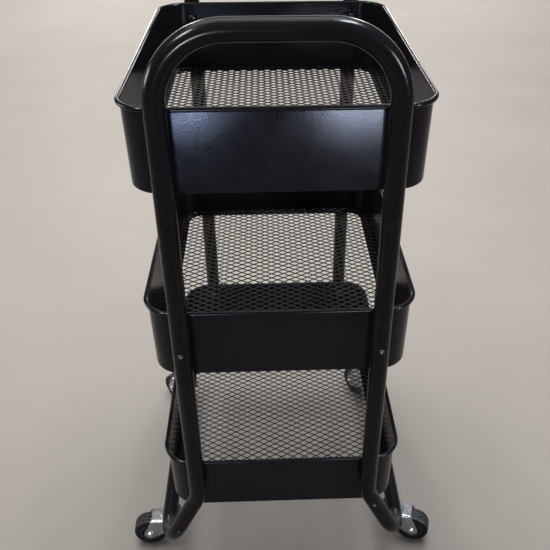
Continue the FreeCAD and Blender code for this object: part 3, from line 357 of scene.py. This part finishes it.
def expanded_mesh(tray):
    lo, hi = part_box(tray + "_mesh")
    shell_lo, shell_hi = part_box(tray + "_shell")
    grow = 0.0033                       # out to just short of the wall
    hx, hy = hi.x + grow, hi.y + grow
    rad = 0.0361 + grow
    z0 = lo.z + 0.0009                  # strand centre over the flange
    amp = (SWD / 2 - STRAND_W * 0.94) / 2
    pitch = SWD / 2
    n_lines = int(hy * 2 / pitch)
    wave = []                           # one full wave, x in [0, 1)
    for s, sign in ((0.0, 1), (0.5, -1)):
        # flat bond, then a straight strand to the next bond, corners eased
        for t, yv in ((0.0, 1.0), (0.040, 1.0), (0.075, 0.90), (0.270, 0.0), (0.465, -0.90)):
            if s == 0.0:
                wave.append((t * 1.0, yv))
            else:
                wave.append((0.5 + t * 1.0, -yv))
    wave = sorted(wave)
    verts, faces = [], []
    tilt = math.radians(24)
    ct, st = math.cos(tilt), math.sin(tilt)
    n_wave = int(2 * hx / LWD) + 2
    for j in range(-(n_lines // 2), n_lines // 2 + 1):
        yc = j * pitch
        sgn = 1 if j % 2 == 0 else -1
        if abs(yc) > hy - 0.0012:
            continue
        # half length of this line inside the rounded plan
        edge = abs(yc) - (hy - rad)
        lim = hx if edge <= 0 else hx - rad + math.sqrt(max(rad * rad - edge * edge, 0.0))
        pts = []
        for k in range(-(n_wave // 2) - 1, n_wave // 2 + 2):
            for wx, wy in wave:
                x = (k + wx - 0.0200) * LWD
                if -lim < x < lim:
                    pts.append((x, yc + sgn * amp * wy, wy * sgn))
        if len(pts) < 3:
            continue
        x0, x1 = pts[0], pts[-1]
        pts = [(-lim, x0[1], x0[2])] + pts + [(lim, x1[1], x1[2])]
        base = len(verts)
        m = len(pts)
        for i, (x, y, w) in enumerate(pts):
            a = pts[max(i - 1, 0)]
            b = pts[min(i + 1, m - 1)]
            dx, dy = b[0] - a[0], b[1] - a[1]
            L = math.hypot(dx, dy)
            nx, ny = -dy / L, dx / L
            # strands rise and fall a little through the sheet, as sheared
            zz = z0 + 0.00028 * w
            for u, v in ((-0.5, -0.5), (0.5, -0.5), (0.5, 0.5), (-0.5, 0.5)):
                p = u * STRAND_W * 1.06
                q = v * STRAND_T
                off = p * ct - q * st
                up = p * st + q * ct
                verts.append((x + nx * off, y + ny * off, zz + up))
        for i in range(m - 1):
            o = base + 4 * i
            for s in range(4):
                t = (s + 1) % 4
                faces.append((o + s, o + t, o + 4 + t, o + 4 + s))
        faces.append((base + 3, base + 2, base + 1, base))
        o = base + 4 * (m - 1)
        faces.append((o, o + 1, o + 2, o + 3))
    ob = new_piece(tray + "_expanded_metal", verts, faces, "mesh_black", smooth=False)
    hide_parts(tray + "_mesh")
    return ob


for tray in TRAYS:
    expanded_mesh(tray)


# The band of each tray closes with a weld in the middle of both short walls.
# It is ground flush but for a low bead over the rolled rim and just below it.
def hit(o, origin, direction):
    ok, loc, nor, _ = o.ray_cast(Vector(origin), Vector(direction))
    return loc if ok else None


def bead_rows(path, lifts, half_w, x0, seed):
    """Cross rows of a bead along path, whose items are (point, outward)."""
    rng = np.random.default_rng(seed)
    rows = []
    wob = np.cumsum(rng.normal(0, 0.00006, len(path)))
    wob = wob - wob.mean()
    for i, ((p, n), lift) in enumerate(zip(path, lifts)):
        ripple = 0.72 + 0.28 * math.sin(i * 1.9 + 0.6 * math.sin(i * 0.37))
        w = half_w * (0.86 + 0.14 * math.sin(i * 1.9 + 0.8)) * (1 + 0.10 * rng.normal())
        row = []
        for u, h in ((-1.25, -0.10), (-1.0, 0.10), (-0.62, 0.70), (0.0, 1.0), (0.62, 0.72), (1.0, 0.12), (1.25, -0.10)):
            q = Vector((x0 + wob[i] + u * w, p[0], p[1])) + Vector((0, n[0], n[1])) * (lift * ripple * h + 0.00002)
            row.append(q)
        rows.append(row)
    return rows


def weld(tray, side, x0):
    shell = NODES[tray + "_shell"]
    lo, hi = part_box(tray + "_shell")
    rim_y, rim_z = side * (hi.y - 0.003), hi.z - 0.003
    verts, faces = [], []

    def strip(path, lifts, half_w, seed):
        rows = bead_rows(path, lifts, half_w, x0, seed)
        base, m = len(verts), 7
        for r in rows:
            verts.extend(r)
        for i in range(len(rows) - 1):
            for j in range(m - 1):
                a = base + i * m + j
                faces.append((a, a + 1, a + m + 1, a + m))
        for e, flip in ((base, False), (base + (len(rows) - 1) * m, True)):
            f = tuple(range(e, e + m))
            faces.append(f if flip else f[::-1])

    key = int(rim_z * 1000) + (7 if side > 0 else 0)
    outer = []
    z = rim_z - 0.0045
    while z > rim_z - 0.017:
        q = hit(shell, (x0, side * 0.40, z), (0, -side, 0))
        if q:
            outer.append(((q.y, z), (side, 0.0), rim_z - z))
        z -= 0.0006
    strip([(p, n) for p, n, _ in outer], [0.00034 * math.exp(-(max(d - 0.008, 0.0) / 0.006) ** 2) for _, _, d in outer], 0.00075, key)
    roll = []
    for k in range(27):
        a = math.radians(-40 + k * 210 / 26)
        n = (side * math.cos(a), math.sin(a))
        roll.append(((rim_y + n[0] * 0.003, rim_z + n[1] * 0.003), n))
    strip(roll, [0.00026] * 27, 0.0009, key + 1)
    inner = []
    z = rim_z - 0.001
    while z > rim_z - 0.024:
        q = hit(shell, (x0, side * 0.10, z), (0, side, 0))
        if q:
            inner.append(((q.y, z), (-side, 0.0), rim_z - z))
        z -= 0.0006
    strip([(p, n) for p, n, _ in inner], [0.00032 * math.exp(-(max(d - 0.012, 0.0) / 0.008) ** 2) for _, _, d in inner], 0.00070, key + 2)
    return verts, faces


for tray in TRAYS:
    vs, fs = [], []
    for side in (-1, 1):
        v, f = weld(tray, side, -0.0012)
        o = len(vs)
        vs += v
        fs += [tuple(i + o for i in q) for q in f]
    new_piece(tray + "_band_welds", vs, fs, "tray_black")


# A dark cupped ring sits round each small joint screw as painted shade, a dark piece standing in for the shadow in the
# recess round its head, so that only the middle of its bright head shows.
def shade_rings():
    lo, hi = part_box("joint_screws")
    s_z = (lo.z + hi.z) / 2
    lx = hi.x - (hi.z - lo.z) / 2
    front = hi.y
    leg_lo, leg_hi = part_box("front_hoop")
    tube_r, leg_y = (leg_hi.y - leg_lo.y) / 2, (leg_hi.y + leg_lo.y) / -2
    verts, faces = [], []
    prof = ((0.00150, 0.00235), (0.00172, 0.00262), (0.00215, 0.00262), (0.00300, 0.00205), (0.00370, 0.00115), (0.00400, 0.00020), (0.00400, -0.0011))
    n = 40
    for sx in (-1, 1):
        for sy in (-1, 1):
            base = len(verts)
            for r, h in prof:
                for k in range(n):
                    a = 2 * math.pi * k / n
                    u, w = r * math.cos(a), r * math.sin(a)
                    # rows below the head follow the round of the tube
                    sink = tube_r - math.sqrt(max(tube_r ** 2 - u ** 2, 0.0)) if h < 0.0015 else 0.0
                    verts.append((sx * lx + u, sy * (leg_y + tube_r + h - sink), s_z + w))
            for i in range(len(prof) - 1):
                for k in range(n):
                    a, b = base + i * n + k, base + i * n + (k + 1) % n
                    q = (a, b, b + n, a + n)
                    faces.append(q if sy > 0 else q[::-1])
    return new_piece("joint_screw_shade_rings", verts, faces, "screw_black")


shade_rings()


# Rounded edges on the pressed and turned caster parts
for c in CORNERS:
    for part, width in (("_fork", 0.00045), ("_axle_nut", 0.0004), ("_axle_bolt", 0.0003), ("_cup", 0.0004)):
        o = NODES[c + part]
        w = o.modifiers.new("join", "WELD")
        w.merge_threshold = 0.000004
        bv = o.modifiers.new("edge", "BEVEL")
        bv.width = width
        bv.segments = 3
        bv.limit_method = "ANGLE"
        bv.angle_limit = math.radians(38)
        bv.use_clamp_overlap = True


# ---------------------------------------------------------------------- stage
def stage_plane():
    me = bpy.data.meshes.new("floor")
    s = 6.0
    me.from_pydata([(-s, -s, 0), (s, -s, 0), (s, s, 0), (-s, s, 0)], [], [(0, 1, 2, 3)])
    o = bpy.data.objects.new("floor", me)
    scene.collection.objects.link(o)
    k = Nodes("floor_pale")
    col = k.ramp(k.noise(3.0, 4.0), [(0.3, (0.585, 0.545, 0.510)), (0.7, (0.625, 0.585, 0.550))])
    k.link(col, k.bsdf.inputs["Base Color"])
    k.link(k.mapr(k.noise(9.0, 3.0), 0.3, 0.7, 0.50, 0.60), k.bsdf.inputs["Roughness"])
    k.bsdf.inputs["Specular IOR Level"].default_value = 0.06
    me.materials.append(k.m)
    return o


stage_plane()


def area_light(name, loc, target, size, power, color=(1, 1, 1), size_y=None, shown=False):
    d = bpy.data.lights.new(name, "AREA")
    d.shape = "RECTANGLE" if size_y else "SQUARE"
    d.size = size
    if size_y:
        d.size_y = size_y
    d.energy = power
    d.color = color
    o = bpy.data.objects.new(name, d)
    scene.collection.objects.link(o)
    o.location = loc
    o.rotation_euler = (Vector(target) - Vector(loc)).to_track_quat("-Z", "Y").to_euler()
    o.visible_camera = shown
    return o


# a wide soft box overhead and a card at the far end light the whole; the
# small sources draw the streaks on the bends, the rims and the front wall
area_light("overhead", (-0.10, 0.75, 3.0), (-0.10, 0.70, 0.0), 2.8, 74, (1.0, 0.985, 0.965), size_y=2.1)
area_light("far_wall", (0.0, 4.3, 1.15), (0.0, 0.0, 0.75), 5.5, 40, (1.0, 0.975, 0.95), size_y=2.0)
area_light("far_left", (-1.25, 4.2, 1.70), (-0.10, 0.0, 0.75), 0.26, 22, (1.0, 0.98, 0.96), size_y=1.30)
area_light("far_right", (1.25, 4.2, 1.70), (0.10, 0.0, 0.75), 0.22, 18, (1.0, 0.98, 0.97), size_y=1.30)
streak_lights = (
    area_light("high_left", (-1.72, -0.92, 2.82), (-0.09, -0.25, 0.87), 0.30, 84, (0.97, 0.97, 1.0), size_y=0.62),
    area_light("side_left", (-2.50, 0.40, 0.95), (-0.16, -0.20, 0.79), 1.20, 24, (1.0, 0.98, 0.96), size_y=0.50),
    area_light("doorway", (-0.72, -2.80, 0.80), (-0.09, -0.25, 0.86), 0.50, 34, (0.96, 0.96, 1.0), size_y=0.17),
    area_light("lamp", (0.80, -0.12, 2.85), (0.06, -0.25, 0.88), 0.50, 84, (0.80, 0.89, 1.0), size_y=0.55),
    area_light("side_right", (2.10, -1.70, 1.10), (0.12, -0.25, 0.80), 0.38, 48, (0.84, 0.89, 1.0), size_y=0.70),
)
wall_lights = (
    area_light("low_left", (-0.19, -0.90, 0.525), (-0.09, -0.227, 0.78), 0.13, 2.3, (0.50, 0.62, 1.0), size_y=0.08),
    area_light("low_right", (0.178, -0.90, 0.520), (0.085, -0.227, 0.78), 0.14, 2.6, (0.66, 0.74, 1.0), size_y=0.08),
)
# the streak lights leave the floor and the mesh alone, and the two low ones
# light only the trays, not the legs in front of them
object_lit = bpy.data.collections.new("object_lit")
for o in list(NODES.values()) + PIECES:
    if not o.name.endswith("_expanded_metal"):
        object_lit.objects.link(o)
trays_lit = bpy.data.collections.new("trays_lit")
for tray in TRAYS:
    trays_lit.objects.link(NODES[tray + "_shell"])
for o in streak_lights:
    o.light_linking.receiver_collection = object_lit
for o in wall_lights:
    o.light_linking.receiver_collection = trays_lit

world = bpy.data.worlds.new("studio")
scene.world = world
world.use_nodes = True
bg = world.node_tree.nodes["Background"]
bg.inputs["Color"].default_value = (0.80, 0.79, 0.80, 1)
bg.inputs["Strength"].default_value = 0.12

# camera: measured station point, 46.5 mm lens on a 36 mm frame
cam_data = bpy.data.cameras.new("camera")
cam = bpy.data.objects.new("camera", cam_data)
scene.collection.objects.link(cam)
yaw, pitch, roll = -0.0343, 0.604, 0.003
cy, sy, cp, sp, cr, sr = math.cos(yaw), math.sin(yaw), math.cos(pitch), math.sin(pitch), math.cos(roll), math.sin(roll)
R = Matrix(((cy, -sy, 0), (sy, cy, 0), (0, 0, 1))) @ Matrix(((1, 0, 0), (0, cp, sp), (0, -sp, cp))) @ Matrix(((cr, 0, sr), (0, 1, 0), (-sr, 0, cr)))
right, fwd, up = R.col[0], R.col[1], R.col[2]
mat = Matrix(((right.x, up.x, -fwd.x, -0.0133), (right.y, up.y, -fwd.y, -0.9425), (right.z, up.z, -fwd.z, 1.0535), (0, 0, 0, 1)))
cam.matrix_world = mat
cam_data.sensor_width = 36.0
cam_data.lens = 710.5 / 550.0 * 36.0
cam_data.shift_x = -(289.6 - 275.0) / 550.0
cam_data.shift_y = (288.0 - 275.0) / 550.0
cam_data.clip_start, cam_data.clip_end = 0.02, 60.0
scene.camera = cam

scene.view_settings.view_transform = "Standard"
scene.view_settings.look = "None"
scene.view_settings.exposure = 0.0
